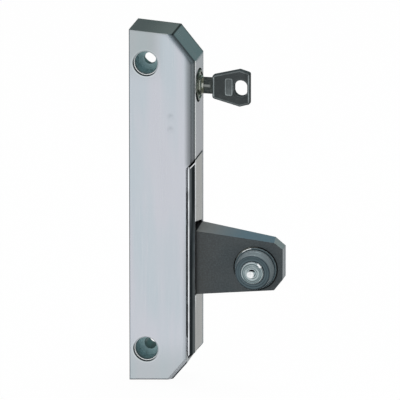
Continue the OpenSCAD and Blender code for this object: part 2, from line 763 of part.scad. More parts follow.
module guide_screw(i) {
    z = [guide_z[0] + guide_screw_in.y, guide_z[1] - guide_screw_in.y][i];
    x = guide_x[1] - guide_screw_in.x;
    color("dimgray") difference() {
        union() {
            bar_y(x, z, inner_y - 1.2, guide_back_y + 0.1, guide_screw_r);
            bar_y(x, z, guide_back_y, guide_back_y + 1.4, 2.2);
        }
        block([x - 3, guide_back_y + 0.8, z - 0.3], [x + 3, guide_back_y + 2, z + 0.3]);
    }
}

module detent_ball() {
    color("silver") translate([slide_x[1] + ball_r - ball_sink, slide_y0 + slide_w / 2, ball_z()])
        sphere(r = ball_r);
}

module detent_spring() {
    x0 = slide_x[1] + 2 * ball_r - ball_sink + 0.3;
    turns = 3;
    steps = 12;
    length = guide_x[1] - 1.5 - x0 - 0.3;
    color("slategray") translate([x0, slide_y0 + slide_w / 2, ball_z()])
        wire([for (i = [0 : turns * steps])
                 [length * i / (turns * steps), 1.05 * cos(i * 360 / steps), 1.05 * sin(i * 360 / steps)]],
             0.22, [1, 0, 0]);
}

module detent_screw() {
    color("dimgray") difference() {
        bar_x(slide_y0 + slide_w / 2, ball_z(), guide_x[1] - 1.5, guide_x[1], ball_r);
        block([guide_x[1] - 0.6, slide_y0, ball_z() - 0.25], [guide_x[1] + past, slide_y0 + slide_w, ball_z() + 0.25]);
    }
}

// Key

// Bitting: depth of each cut from both edges of the blade
bitting = [0.9, 0.4, 1.1, 0.6, 0.9];

module key_blade() {
    tip = 1.6;
    shank_x = key_head_x + key_tang;
    half = key_h / 2;
    color("silver") difference() {
        plate_y(lock_y - key_t / 2, lock_y + key_t / 2) translate([0, lock_z])
            polygon([[key_tip_x, tip], [key_tip_x + 2, half], [plug_front_x + 0.4, half],
                     [plug_front_x + 0.4, key_neck_h / 2], [shank_x, key_neck_h / 2],
                     [shank_x, -key_neck_h / 2], [plug_front_x + 0.4, -key_neck_h / 2],
                     [plug_front_x + 0.4, -half], [key_tip_x + 2, -half], [key_tip_x, -tip]]);
        for (i = [0 : 4]) for (side = [-1, 1])
            translate([wafer_x0 + i * wafer_pitch + wafer_t / 2, lock_y - key_t, lock_z + side * half])
                rotate([0, 45, 0]) block([-bitting[i] * 0.7, 0, -bitting[i] * 0.7],
                                         [bitting[i] * 0.7, 2 * key_t, bitting[i] * 0.7]);
        // Side grooves that leave a rib along the middle of the neck
        for (face = [-1, 1]) for (side = [-1, 1])
            translate([plug_front_x + 0.9, lock_y + face * key_t / 2 - 0.3, lock_z + side * 2.4 - 1.4])
                cube([key_head_x - plug_front_x - 0.9, 0.6, 2.8]);
    }
}

// Outline of the key's head in x and z, drawn from six rounded corners
module head_outline(less) {
    r = key_corner_r;
    half = key_head_w / 2;
    hull() for (side = [-1, 1]) {
        translate([r + 0.2, side * (half * 0.64 - r)]) circle(r - less, $fn = 32);
        translate([key_head_l * 0.7, side * (half - r)]) circle(r - less, $fn = 32);
        translate([key_head_l - r, side * (half * 0.8 - r)]) circle(r - less, $fn = 32);
    }
}

module key_head() {
    border = 0.25;
    t = key_head_t / 2;
    hole_x = key_head_l * 0.73;
    color("#202020") translate([key_head_x, lock_y, lock_z]) difference() {
        union() {
            plate_y(border - t, t - border) head_outline(0);
            plate_y(-t, t) difference() {
                head_outline(0.9);
                head_outline(1.5);
            }
        }
        plate_y(-t - past, t + past) hull() for (side = [-1, 1])
            translate([hole_x, side * (ring_hole[1] - ring_hole[0]) / 2]) circle(d = ring_hole[0], $fn = 32);
        block([-past, -key_t / 2 - seat_c, -key_neck_h / 2 - seat_c],
              [key_tang + seat_c, key_t / 2 + seat_c, key_neck_h / 2 + seat_c]);
    }
}

housing();
back_plate();
cover_screw(0);  // cover_screw_1
cover_screw(1);  // cover_screw_2
cover_screw(2);  // cover_screw_3
cover_screw(3);  // cover_screw_4
lever();
lever_pin();
lever_spring();
roller_arm();
arm_bush();
arm_pin();
arm_washer();
roller();
roller_bush();
roller_washer();
roller_screw();
roller_nut();
lock_cylinder();
lock_clip();
lock_plug();
wafer(0);  // wafer_1
wafer(1);  // wafer_2
wafer(2);  // wafer_3
wafer(3);  // wafer_4
wafer(4);  // wafer_5
lock_cam();
cam_pin();
cam_screw();
locking_slide();
slide_guide();
guide_screw(0);  // guide_screw_1
guide_screw(1);  // guide_screw_2
detent_ball();
detent_spring();
detent_screw();
key_blade();
key_head();
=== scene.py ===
import math

import bpy
import numpy as np
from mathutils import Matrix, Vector


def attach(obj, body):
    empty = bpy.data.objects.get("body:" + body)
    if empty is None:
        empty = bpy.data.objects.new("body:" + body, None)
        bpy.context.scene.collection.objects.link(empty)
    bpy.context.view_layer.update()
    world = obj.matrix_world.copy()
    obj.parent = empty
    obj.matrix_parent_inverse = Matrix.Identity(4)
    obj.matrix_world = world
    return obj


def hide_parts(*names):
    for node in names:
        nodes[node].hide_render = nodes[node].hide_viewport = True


mm = 0.001
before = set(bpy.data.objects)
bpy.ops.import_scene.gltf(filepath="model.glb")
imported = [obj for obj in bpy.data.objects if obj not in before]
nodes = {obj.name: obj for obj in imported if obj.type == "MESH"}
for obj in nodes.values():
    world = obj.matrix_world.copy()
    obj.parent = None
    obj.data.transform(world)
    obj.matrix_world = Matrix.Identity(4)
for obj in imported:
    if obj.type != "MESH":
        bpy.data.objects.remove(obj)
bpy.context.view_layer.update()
print("latch frame loaded,", len(nodes), "nodes")

# lengths in millimetres, angles in degrees
shot = {
    "azimuth": 12.21, "elevation": 16.5, "lens": 821.0, "sensor": 36.0, "distance": 5000.0,
    "target": (27.69, -12.0, 2.07), "clip": (0.2, 30.0),
}


def placeCamera():
    # the camera stands back from its target along a line turned from -Y by the azimuth and then raised
    turn, rise = math.radians(shot["azimuth"]), math.radians(shot["elevation"])
    away = Vector((math.sin(turn) * math.cos(rise), -math.cos(turn) * math.cos(rise), math.sin(rise)))
    lens = bpy.data.cameras.new("shotCamera")
    lens.lens = shot["lens"]
    lens.sensor_width = shot["sensor"]
    lens.clip_start, lens.clip_end = shot["clip"]
    camera = bpy.data.objects.new("shotCamera", lens)
    camera.location = (Vector(shot["target"]) + away * shot["distance"]) * mm
    camera.rotation_euler = (-away).to_track_quat("-Z", "Y").to_euler()
    bpy.context.scene.collection.objects.link(camera)
    bpy.context.scene.camera = camera


placeCamera()
bpy.context.scene.view_settings.view_transform = "Standard"
print("camera placed")


def connect(tree, value, socket):
    # a wire is linked, a colour of three is padded for colour sockets, anything else is a plain value
    if isinstance(value, Wire):
        tree.links.new(value.socket, socket)
    elif socket.type == "RGBA" and len(value) == 3:
        socket.default_value = (*value, 1.0)
    else:
        socket.default_value = value


class Wire:
    # one output of a shader node; the operators add Math nodes behind it
    def __init__(self, tree, socket):
        self.tree = tree
        self.socket = socket

    def maths(self, operation, *others, turned=False):
        # this wire comes first, or last where the operation is turned round
        node = self.tree.nodes.new("ShaderNodeMath")
        node.operation = operation
        values = (*others, self) if turned else (self, *others)
        for value, socket in zip(values, node.inputs):
            connect(self.tree, value, socket)
        return Wire(self.tree, node.outputs[0])

    def __add__(self, other):
        return self.maths("ADD", other)

    __radd__ = __add__

    def __sub__(self, other):
        return self.maths("SUBTRACT", other)

    def __rsub__(self, other):
        return self.maths("SUBTRACT", other, turned=True)

    def __mul__(self, other):
        return self.maths("MULTIPLY", other)

    __rmul__ = __mul__

    def __truediv__(self, other):
        return self.maths("DIVIDE", other)

    def __pow__(self, other):
        return self.maths("POWER", other)

    def __abs__(self):
        return self.maths("ABSOLUTE")

    def rise(self, low, high):
        # 0 below low, 1 above high and a smooth step between; low above high turns it round
        node = self.tree.nodes.new("ShaderNodeMapRange")
        node.interpolation_type = "SMOOTHSTEP"
        for value, socket in zip((self, low, high, 0.0, 1.0), node.inputs):
            connect(self.tree, value, socket)
        return Wire(self.tree, node.outputs[0])

    def bump(self, middle, width):
        # 1 at the middle, falling smoothly to 0 a width away on both sides
        return abs(self - middle).rise(width, 0.0)

    def wave(self, perUnit):
        # a sine between 0 and 1 that repeats perUnit times in each unit
        return (self * (2 * math.pi * perUnit)).maths("SINE") * 0.5 + 0.5


def apart(across, up):
    # distance from an axis: the root of the two squares
    return (across ** 2.0 + up ** 2.0) ** 0.5


def spread(share, ends):
    # a share from 0 to 1 laid out between two ends
    return ends[0] + (ends[1] - ends[0]) * share


def times(colour, factor):
    return tuple(factor * c for c in colour)


class Tree:
    # a node tree with short ways to add nodes to it
    def __init__(self, tree):
        self.tree = tree

    def node(self, kind, settings=None, values=None, out=0):
        # settings are set first, then the sockets by name or number; the chosen output comes back as a wire
        node = self.tree.nodes.new(kind)
        for name, value in (settings or {}).items():
            if name == "stops":
                ramp = node.color_ramp
                while len(ramp.elements) < len(value):
                    ramp.elements.new(1.0)
                for element, (place, colour) in zip(ramp.elements, value):
                    element.position = place
                    element.color = (*colour, 1.0)
            else:
                setattr(node, name, value)
        for socket, value in (values or {}).items():
            connect(self.tree, value, node.inputs[socket])
        return Wire(self.tree, node.outputs[out])

    def blend(self, share, first, second):
        return self.node("ShaderNodeMix", {"data_type": "RGBA"}, {0: share, 6: first, 7: second}, out=2)

    def parts(self, vector):
        node = self.tree.nodes.new("ShaderNodeSeparateXYZ")
        connect(self.tree, vector, node.inputs[0])
        return [Wire(self.tree, socket) for socket in node.outputs]

    def cloud(self, vector, scale, detail=2.0, rough=0.5, stretch=None):
        if stretch:
            vector = self.node("ShaderNodeVectorMath", {"operation": "MULTIPLY"}, {0: vector, 1: stretch})
        values = {"Vector": vector, "Scale": scale, "Detail": detail, "Roughness": rough}
        return self.node("ShaderNodeTexNoise", None, values)

    def seen(self):
        # 1 for the rays that come from the camera, also through something clear
        direct = self.node("ShaderNodeLightPath", out="Is Camera Ray")
        through = self.node("ShaderNodeLightPath", out="Is Transmission Ray")
        return direct + through


class Finish(Tree):
    # a material; its sockets are the shader's
    def __init__(self, name, **sockets):
        self.material = bpy.data.materials.new(name)
        self.material.use_nodes = True
        super().__init__(self.material.node_tree)
        self.shader = self.tree.nodes["Principled BSDF"]
        for socket, value in sockets.items():
            self.set(socket, value)

    def set(self, socket, value):
        connect(self.tree, value, self.shader.inputs[socket])

    def place(self):
        # object coordinates in millimetres
        spot = self.node("ShaderNodeTexCoord", out="Object")
        return self.node("ShaderNodeVectorMath", {"operation": "SCALE"}, {"Vector": spot, "Scale": 1000.0})

    def facing(self):
        # the surface's own normal in object space
        return self.parts(self.node("ShaderNodeTexCoord", out="Normal"))

    def relief(self, height, strength, distance, radius):
        # bump from a height in 0..1 over a distance in millimetres, on edges rounded by a radius in metres
        soft = self.node("ShaderNodeBevel", {"samples": 8}, {"Radius": radius})
        values = {"Height": height, "Strength": strength, "Distance": distance * mm, "Normal": soft}
        self.set("Normal", self.node("ShaderNodeBump", None, values))


# the roller turns about (x, z), the lock about (y, z); holeHeight is how far up and down the fixing holes lie
rollerAxis = (60.4, -32.9)
lockAxis = (-11.0, 67.4)
holeHeight = 81.5

chrome = {
    "blueGrey": (0.575, 0.63, 0.68), "lavender": (0.645, 0.655, 0.71), "pale": (0.70, 0.73, 0.765),
    "endShade": (0.36, 0.41, 0.4), "topSheen": (0.9, 0.95, 0.9),
    "rollOffShade": (0.14, 0.155, 0.16), "rollOffShadeShare": 0.72,
    "ringHighlight": (0.8, 0.87, 0.86), "ringGreyShade": (0.2, 0.24, 0.25), "ringBlackShade": (0.012, 0.025, 0.03),
    "recess": (0.26, 0.37, 0.38), "recessPatch": 1.7, "recessRimShade": (0.01, 0.02, 0.022),
    "lockRecessShade": (0.008, 0.01, 0.01), "highlightTone": (0.93, 0.96, 0.96), "cutBandReflection": (0.53, 0.56, 0.59),
    "leftSideShade": (0.2, 0.225, 0.235), "creaseShade": (0.05, 0.06, 0.06), "creaseAt": (14.7, 98.4),
    "gloss": (0.17, 0.26), "roundUpper": 3.0, "roundLower": 0.8, "roundHole": 0.15,
}


def bodyChrome():
    # brushed and polished chrome: slow upright bands between a blue grey and a lavender, fine upright brush
    # lines in gloss and relief, darker recesses round the two fixing holes, painted shade and highlights
    c = chrome
    f = Finish("bodyChrome", Metallic=1.0)
    p = f.place()
    px, py, pz = f.parts(p)
    nx, ny, nz = f.facing()
    bands = f.cloud(p, 0.11, 2.0, 0.5, (1.0, 1.0, 0.12))
    drift = f.cloud(p, 0.035, 1.0, 0.5, (1.0, 1.0, 0.6))
    brush = f.cloud(p, 1.9, 3.0, 0.6, (1.0, 1.0, 0.025))
    grain = f.cloud(p, 5.0, 2.0)
    tone = f.blend((bands * 0.6 + drift * 0.4).rise(0.38, 0.6), c["blueGrey"], c["lavender"])
    tone = f.blend(brush.rise(0.5, 0.72) * 0.35, tone, c["pale"])
    # painted shade makes it darker and greener above the upper hole and towards the bottom end; a painted
    # sheen makes the top face paler to the right
    shadeAboveHole = pz.rise(68.0, 88.0) * px.rise(12.0, 2.0) * 0.55
    shadeAtBottom = pz.rise(-72.0, -94.0) * 0.35
    tone = f.blend(shadeAboveHole + shadeAtBottom, tone, c["endShade"])
    tone = f.blend(nz.rise(0.6, 0.8) * px.rise(-6.0, 14.0) * 0.5, tone, c["topSheen"])
    # painted shade: the front rolls off darker at its upper right edge, along the diagonal cut and, weaker,
    # beside the lever
    rightEdge = px.rise(20.8, 24.3) * pz.rise(22.0, 26.0)
    cutEdge = (px + pz).rise(109.0, 112.6) * px.rise(14.0, 24.0)
    leverEdge = px.rise(19.8, 23.0) * pz.rise(0.0, -40.0) * 0.45
    roll = rightEdge.maths("MAXIMUM", cutEdge).maths("MAXIMUM", leverEdge)
    tone = f.blend(roll * py.rise(-22.7, -23.7) * c["rollOffShadeShare"], tone, c["rollOffShade"])
    # round each hole a faint painted highlight ring and a grey ring of painted shade, with a black crescent
    # of painted shade on its lower left; the wall inside is mottled, painted near black with shade near the
    # mouth
    middle = (pz.rise(-1.0, 1.0) * 2.0 - 1.0) * holeHeight
    hole = apart(px, pz - middle)
    lowerLeft = ((pz - middle) * -0.85 - px * 0.5).rise(-0.5, 4.0)
    mouth = py.rise(-22.5, -22.9)
    tone = f.blend(hole.bump(7.7, 0.6) * mouth * (0.1 + 0.3 * lowerLeft), tone, c["ringHighlight"])
    tone = f.blend(hole.bump(6.75, 0.5) * mouth * 0.45, tone, c["ringGreyShade"])
    tone = f.blend(hole.bump(7.0, 0.6).rise(0.0, 0.7) * mouth * lowerLeft, tone, c["ringBlackShade"])
    inside = hole.rise(6.45, 6.35) * py.rise(-23.4, -22.9)
    wall = f.blend(f.cloud(p, 0.5, 3.0), c["recess"], times(c["recess"], c["recessPatch"]))
    wall = f.blend(py.rise(-20.0, -22.0) * 0.8, wall, c["recessRimShade"])
    tone = f.blend(inside, tone, wall)
    # the lock's recess is painted black as shade
    lock = apart(py - lockAxis[0], pz - lockAxis[1])
    tone = f.blend(lock.rise(9.5, 9.35) * px.rise(26.95, 26.8) * px.rise(14.0, 16.0), tone, c["lockRecessShade"])
    # painted highlights on the side's front edge and on a ledge in each hole's mouth; the lower cut's front
    # band carries a pale painted reflection
    alongEdge = py.rise(-19.2, -19.7) * py.rise(-22.6, -22.0) * pz.rise(20.0, 24.0)
    highlightStrip = px.rise(26.8, 26.95) * alongEdge * nx.rise(0.9, 0.98)
    ledgeHighlight = hole.bump(6.5, 0.5).rise(0.0, 0.6) * mouth * lowerLeft * py.rise(-23.5, -23.2)
    paintedHighlight = (highlightStrip + ledgeHighlight).maths("MINIMUM", 1.0)
    paintedBand = nz.rise(-0.2, -0.45) * nx.rise(0.2, 0.45) * py.rise(-22.3, -22.9) * pz.rise(-60.0, -80.0)
    tone = f.blend(paintedHighlight, tone, c["highlightTone"])
    tone = f.blend(paintedBand, tone, c["cutBandReflection"])
    # the left side is painted darker as shade
    tone = f.blend(nx.rise(-0.4, -0.7), tone, c["leftSideShade"])
    # a painted dark line of shade along the two creases where the end faces meet the corner cuts
    creaseShade = apart(px - c["creaseAt"][0], abs(pz) - c["creaseAt"][1]).rise(0.9, 0.3)
    f.set("Base Color", f.blend(creaseShade * py.rise(-23.9, -22.0), tone, c["creaseShade"]))
    f.set("Metallic", 1 - 0.95 * (paintedHighlight + paintedBand).maths("MINIMUM", 1.0))
    shine = spread((brush * 0.5 + bands * 0.5).rise(0.3, 0.7), c["gloss"])
    f.set("Roughness", shine + grain * 0.03 + inside * 0.22)
    # the edges of the upper field are rounded most, those of the holes and of the lock's recess least
    clear = lock.rise(10.0, 11.5)
    upper = pz.rise(26.0, 30.0) * px.rise(4.0, 12.0) * hole.rise(8.0, 10.0) * clear
    lower = (1 - upper) * hole.rise(7.5, 9.0) * clear
    radius = (c["roundHole"] + upper * c["roundUpper"] + lower * c["roundLower"]) * mm
    f.relief(brush * 0.75 + grain * 0.25, 0.1, 0.03, radius)
    return f.material


lever = {
    "side": (0.60, 0.61, 0.61), "sideWarm": (0.68, 0.665, 0.66), "bevel": (0.065, 0.078, 0.086),
    "bevelGrey": (0.42, 0.45, 0.47), "flange": (0.9, 0.92, 0.95), "flangeInner": (0.03, 0.035, 0.037),
    "top": (0.012, 0.014, 0.015), "paintedHighlight": (0.93, 0.95, 0.96), "gloss": (0.2, 0.3), "round": 0.35,
}


def leverChrome():
    # chrome lever; its finger bevel faces between -Y and +X and is painted black with shade between two
    # painted highlight edges
    c = lever
    f = Finish("leverChrome", Metallic=1.0)
    p = f.place()
    px, py, pz = f.parts(p)
    nx, ny, nz = f.facing()
    bands = f.cloud(p, 0.3, 2.0, 0.5, (1.0, 1.0, 0.04))
    brush = f.cloud(p, 2.0, 3.0, 0.6, (1.0, 1.0, 0.025))
    patchCloud = f.cloud(p, 0.25, 3.0, 0.6, (1.0, 1.0, 0.2))
    tone = f.blend((bands * 0.6 + brush * 0.4).rise(0.35, 0.65), c["side"], c["sideWarm"])
    # the bevel is painted black as shade with a greyer painted half, on the left above and on the right below
    slope = (nx * 0.7071 - ny * 0.7071).rise(0.9, 0.98)
    below = pz.rise(5.0, -25.0)
    grey = below * px.rise(25.4, 26.5) + (1 - below) * px.rise(25.9, 24.9)
    bevelShading = f.blend(grey * (0.5 + 0.5 * patchCloud.rise(0.3, 0.6)), c["bevel"], c["bevelGrey"])
    tone = f.blend(slope, tone, bevelShading)
    # the front flange is painted bright as a highlight, broken up by a cloud, and painted nearly black with
    # shade along its inner edge
    flangeHighlightShare = patchCloud.rise(0.3, 0.6) * (1 - 0.7 * pz.bump(8.0, 5.0))
    flange = f.blend(flangeHighlightShare, times(c["flange"], 0.6), c["flange"])
    flange = f.blend(px.rise(24.25, 24.4), flange, c["flangeInner"])
    tone = f.blend((1 - slope) * ny.rise(-0.5, -0.95), tone, flange)
    # the top faces are painted near black with shade
    tone = f.blend(nz.rise(0.3, 0.6) * pz.rise(18.0, 20.0), tone, c["top"])
    # painted highlights: the edge between bevel and side is painted bright to below the window, as is the
    # bevel's top edge
    crest = px.rise(26.9, 26.98) * py.rise(-19.0, -19.5) * pz.rise(-62.0, -48.0) * nx.rise(0.9, 0.98)
    arch = slope * (pz - px).rise(-1.9, -1.5) * pz.rise(20.0, 22.0)
    paintedHighlight = (crest + arch).maths("MINIMUM", 1.0)
    f.set("Base Color", f.blend(paintedHighlight, tone, c["paintedHighlight"]))
    f.set("Metallic", 1 - 0.97 * paintedHighlight)
    f.set("Roughness", spread(brush.rise(0.3, 0.7), c["gloss"]) + slope * 0.1)
    f.relief(brush, 0.1, 0.03, c["round"] * mm)
    return f.material


arm = {
    "cool": (0.031, 0.043, 0.048), "grey": (0.042, 0.052, 0.056), "warm": (0.045, 0.045, 0.043),
    "speck": (0.1, 0.12, 0.12), "topWarm": (0.15, 0.155, 0.15), "topCool": (0.07, 0.125, 0.155),
    "corner": (0.16, 0.2, 0.2), "end": (0.365, 0.395, 0.41), "pocket": (0.008, 0.011, 0.012),
    "pocketGlint": (0.42, 0.45, 0.4), "windowShade": (0.01, 0.011, 0.012), "round": 0.5,
}


def armPaint():
    # cast charcoal enamel: fine pits and orange peel, a warmer tone near the body, upper faces painted
    # lighter and blue-grey as light from above, and the end face painted paler still as painted light
    c = arm
    f = Finish("armPaint", Metallic=0.0, IOR=1.5)
    p = f.place()
    px, py, pz = f.parts(p)
    nx, ny, nz = f.facing()
    pits = f.cloud(p, 1.1, 4.0, 0.7)
    peel = f.cloud(p, 0.5, 2.0)
    slow = f.cloud(p, 0.09, 2.0)
    front = f.blend(slow.rise(0.35, 0.65), c["cool"], c["grey"])
    front = f.blend(px.rise(46.0, 26.0) * 0.7, front, c["warm"])
    front = f.blend(pits.rise(0.42, 0.62) * 0.5, front, times(c["grey"], 1.6))
    front = f.blend(pits.rise(0.63, 0.72) * 0.6, front, c["speck"])
    # the roller's pocket is painted black as shade, with a painted highlight crescent at the upper left of
    # its floor
    across, up = px - rollerAxis[0], pz - rollerAxis[1]
    ring = apart(across, up)
    well = ring.rise(12.5, 12.2) * py.rise(-18.95, -18.7)
    highlightCrescent = ring.bump(11.9, 0.5) * up.rise(4.0, 7.0) * across.rise(2.5, -0.5) * well
    front = f.blend(ring.rise(12.6, 12.3), front, c["pocket"])
    front = f.blend(highlightCrescent, front, c["pocketGlint"])
    # upper faces painted lighter as light from above, warm by the body and blue-grey further out
    top = f.blend(px.rise(28.0, 56.0), c["topWarm"], c["topCool"])
    top = f.blend(pits.rise(0.4, 0.7) * 0.3, top, c["topWarm"])
    tone = f.blend(nz.rise(0.5, 0.8), front, top)
    # faces leaning between the top and the end are painted paler as lit
    tone = f.blend(nx.rise(0.3, 0.5) * nx.rise(0.9, 0.8) * nz.rise(0.2, 0.5), tone, c["corner"])
    # the end face is painted pale as painted light, with a darker painted band across its middle
    end = f.blend(py.bump(-14.8, 2.4), c["end"], times(c["end"], 0.62))
    tone = f.blend(nx.rise(0.8, 0.95) * px.rise(70.0, 74.0), tone, end)
    # inside the lever's window the enamel is painted black as shade
    f.set("Base Color", f.blend(px.rise(27.5, 26.9), tone, c["windowShade"]))
    f.set("Roughness", 0.4 + 0.14 * pits + 0.06 * slow)
    f.relief(pits * 0.6 + peel * 0.4, 0.4, 0.12, c["round"] * mm)
    return f.material


# glints are painted highlight spots: x and z from the axis, radius, and the y behind which they lie
rollerLook = {
    "tones": ((0.062, 0.086, 0.1), (0.11, 0.152, 0.168)), "gloss": (0.26, 0.36), "pitch": 1.4, "depth": 0.02,
    "litSideTones": ((0.22, 0.28, 0.3), (0.4, 0.46, 0.48)), "groove": -20.1,
    "glints": ((-5.0, 10.2, 2.9, -19.75),),
}
screwLook = {
    "tones": ((0.16, 0.22, 0.23), (0.58, 0.66, 0.67)), "gloss": (0.12, 0.22), "pitch": 1.15, "depth": 0.03,
    "litSideTones": ((0.3, 0.36, 0.38), (0.46, 0.52, 0.54)),
    "glints": ((-1.0, -0.9, 2.0, -40.0), (4.5, 4.4, 1.0, -40.0), (3.6, 5.3, 0.7, -40.0)),
}
rimLook = {
    "tones": ((0.26, 0.28, 0.24), (0.7, 0.73, 0.67)), "gloss": (0.16, 0.26), "pitch": 1.1, "depth": 0.02,
}
turned = {"grooveShade": (0.01, 0.012, 0.013), "glintTone": (0.97, 0.99, 0.99), "round": 0.12}


def turnedMetal(name, axis, centre, tones, gloss, pitch, depth, litSideTones=None, groove=0.0, glints=()):
    # lathe rings about an axis: a sine of the distance from it, broken up by a slow cloud; the turned sides
    # may take lighter tones as painted light, in bands along the axis, and a groove at one y painted dark as
    # shade
    f = Finish(name)
    p = f.place()
    px, py, pz = f.parts(p)
    slow = f.cloud(p, 0.25, 2.0)
    away = apart((px if axis == "Y" else py) - centre[0], pz - centre[1])
    fine = (away + slow * 0.4).wave(1.0 / pitch)
    coarse = (away + slow * 0.8).wave(0.37 / pitch)
    rings = fine * 0.55 + coarse * 0.45
    tone = f.blend(rings.rise(0.15, 0.85), *tones)
    metal = 1.0
    if litSideTones:
        # the turned sides are painted lighter and less metallic as painted light
        litSide = f.blend((py + slow * 0.3).wave(0.8).rise(0.2, 0.8), *litSideTones)
        onSide = abs(f.facing()[1]).rise(0.85, 0.5)
        tone = f.blend(onSide, tone, litSide)
        # the groove is painted dark as shade
        tone = f.blend(py.bump(groove, 0.5).rise(0.0, 0.6), tone, turned["grooveShade"])
        metal = 1 - 0.5 * onSide
    # glints are painted highlights, paler and less metallic
    if glints:
        glintSpots = []
        for x, z, wide, start in glints:
            spot = apart(px - centre[0] - x, pz - centre[1] - z).rise(wide * 1.2, wide * 0.7)
            glintSpots.append(spot * py.rise(start, start + 0.1))
        paintedGlints = sum(glintSpots)
        tone = f.blend(paintedGlints, tone, turned["glintTone"])
        metal = (1 - 0.9 * paintedGlints) * metal
    f.set("Base Color", tone)
    f.set("Metallic", metal)
    f.set("Roughness", spread(rings, gloss) + slow * 0.06)
    f.relief(rings, 0.5, depth, turned["round"] * mm)
    return f.material


# two tones, gloss from bright to dull, scratch strength, edge radius, and the axis that the scratches follow
satins = {
    "coverZinc": (((0.42, 0.43, 0.45), (0.54, 0.55, 0.57)), (0.34, 0.48), 0.3, 0.3, "Z"),
    "plugBrass": (((0.56, 0.59, 0.5), (0.88, 0.91, 0.81)), (0.18, 0.3), 0.15, 0.3, "X"),
    "plainSteel": (((0.42, 0.43, 0.44), (0.56, 0.57, 0.58)), (0.24, 0.36), 0.25, 0.2, "Y"),
    "springSteel": (((0.3, 0.31, 0.32), (0.42, 0.43, 0.44)), (0.25, 0.35), 0.2, 0.1, "Y"),
    "bushBronze": (((0.42, 0.28, 0.14), (0.56, 0.39, 0.2)), (0.32, 0.44), 0.25, 0.2, "Y"),
    "slideZinc": (((0.5, 0.51, 0.52), (0.62, 0.63, 0.64)), (0.3, 0.42), 0.3, 0.25, "Z"),
}


def satinMetal(name, tones, gloss, scratch, edge, lean):
    # two tones mixed by slow clouds and by streaks that run along one axis; the same streaks vary the gloss
    f = Finish(name, Metallic=1.0)
    p = f.place()
    stretch = {"Z": (1.0, 1.0, 0.03), "X": (0.03, 1.0, 1.0), "Y": (1.0, 0.03, 1.0)}[lean]
    streak = f.cloud(p, 1.6, 3.0, 0.6, stretch)
    slow = f.cloud(p, 0.09, 2.0)
    grain = f.cloud(p, 5.0, 2.0)
    f.set("Base Color", f.blend((slow * 0.6 + streak * 0.4).rise(0.32, 0.68), *tones))
    f.set("Roughness", spread((streak * 0.6 + slow * 0.4).rise(0.25, 0.75), gloss) + grain * 0.03)
    f.relief(streak * 0.7 + grain * 0.3, scratch, 0.03, edge * mm)
    return f.material


plastic = {"tones": ((0.022, 0.03, 0.031), (0.034, 0.043, 0.045)), "worn": (0.35, 0.4, 0.405), "round": 0.1}


def keyPlastic():
    # moulded black plastic with a fine spark-eroded grain; the raised line and edges take a paler painted
    # highlight
    f = Finish("keyPlastic", Metallic=0.0, IOR=1.5)
    p = f.place()
    grain = f.cloud(p, 4.5, 3.0, 0.6)
    slow = f.cloud(p, 0.2, 2.0)
    tone = f.blend(slow.rise(0.3, 0.7), *plastic["tones"])
    worn = f.node("ShaderNodeAttribute", {"attribute_name": "worn"}, out="Fac")
    f.set("Base Color", f.blend(worn * (0.55 + 0.45 * slow.rise(0.35, 0.6)), tone, plastic["worn"]))
    f.set("Roughness", 0.42 + 0.12 * grain + 0.05 * slow)
    f.relief(grain, 0.3, 0.06, plastic["round"] * mm)
    return f.material


nickel = {
    "tones": ((0.035, 0.042, 0.042), (0.085, 0.095, 0.09)), "rib": (0.3, 0.31, 0.3),
    "grime": ((0.1, 0.105, 0.08), (0.3, 0.31, 0.25)), "neckGlint": (0.95, 0.97, 0.93), "neckGlintAt": 28.9,
    "round": 0.15,
}


def keyNickel():
    # dull dark nickel with a painted highlight on the rib along the middle of the neck, and next to the plug
    # olive grime with one bright slanted painted glint in it
    c = nickel
    f = Finish("keyNickel")
    p = f.place()
    px, py, pz = f.parts(p)
    streak = f.cloud(p, 1.2, 3.0, 0.6, (0.5, 1.0, 1.0))
    tone = f.blend(streak.rise(0.35, 0.7), *c["tones"])
    # a painted highlight along the neck's middle rib
    rib = pz.bump(lockAxis[1], 1.2) * abs(py - lockAxis[0]).rise(0.85, 1.0) * px.rise(33.9, 32.6)
    tone = f.blend(rib, tone, c["rib"])
    tone = f.blend(px.rise(29.9, 29.3), tone, f.blend(streak.rise(0.3, 0.7), *c["grime"]))
    # a bright slanted painted glint next to the plug, whitened and less metallic
    slant = pz - lockAxis[1] - (px - c["neckGlintAt"]) * 1.5
    neckGlint = (px.bump(c["neckGlintAt"], 0.9) * slant.bump(-0.3, 2.0)).rise(0.1, 0.4)
    f.set("Base Color", f.blend(neckGlint, tone, c["neckGlint"]))
    f.set("Metallic", 1 - 0.9 * neckGlint)
    f.set("Roughness", 0.26 + 0.14 * streak)
    f.relief(streak, 0.25, 0.04, c["round"] * mm)
    return f.material


satin = {name: satinMetal(name, *values) for name, values in satins.items()}
finishes = {
    "housing": bodyChrome(),
    "lever": leverChrome(),
    "back_plate": satin["coverZinc"],
    "roller_arm": armPaint(),
    "roller": turnedMetal("rollerSteel", "Y", rollerAxis, **rollerLook),
    "roller_screw": turnedMetal("screwSteel", "Y", rollerAxis, **screwLook),
    "lock_cylinder": turnedMetal("lockChrome", "X", lockAxis, **rimLook),
    "lock_plug": satin["plugBrass"],
    "key_blade": keyNickel(),
    "key_head": keyPlastic(),
}
# the other nodes take their metal by a word in their name, and plain steel where there is none
metals = {
    "spring": "springSteel", "clip": "springSteel", "bush": "bushBronze", "wafer": "plugBrass",
    "slide": "slideZinc", "guide": "slideZinc", "cam": "slideZinc",
}
for name, node in nodes.items():
    metal = next((kind for word, kind in metals.items() if word in name), "plainSteel")
    for slot in node.material_slots:
        slot.material = finishes.get(name, satin[metal])
print("finishes made and laid on the nodes")


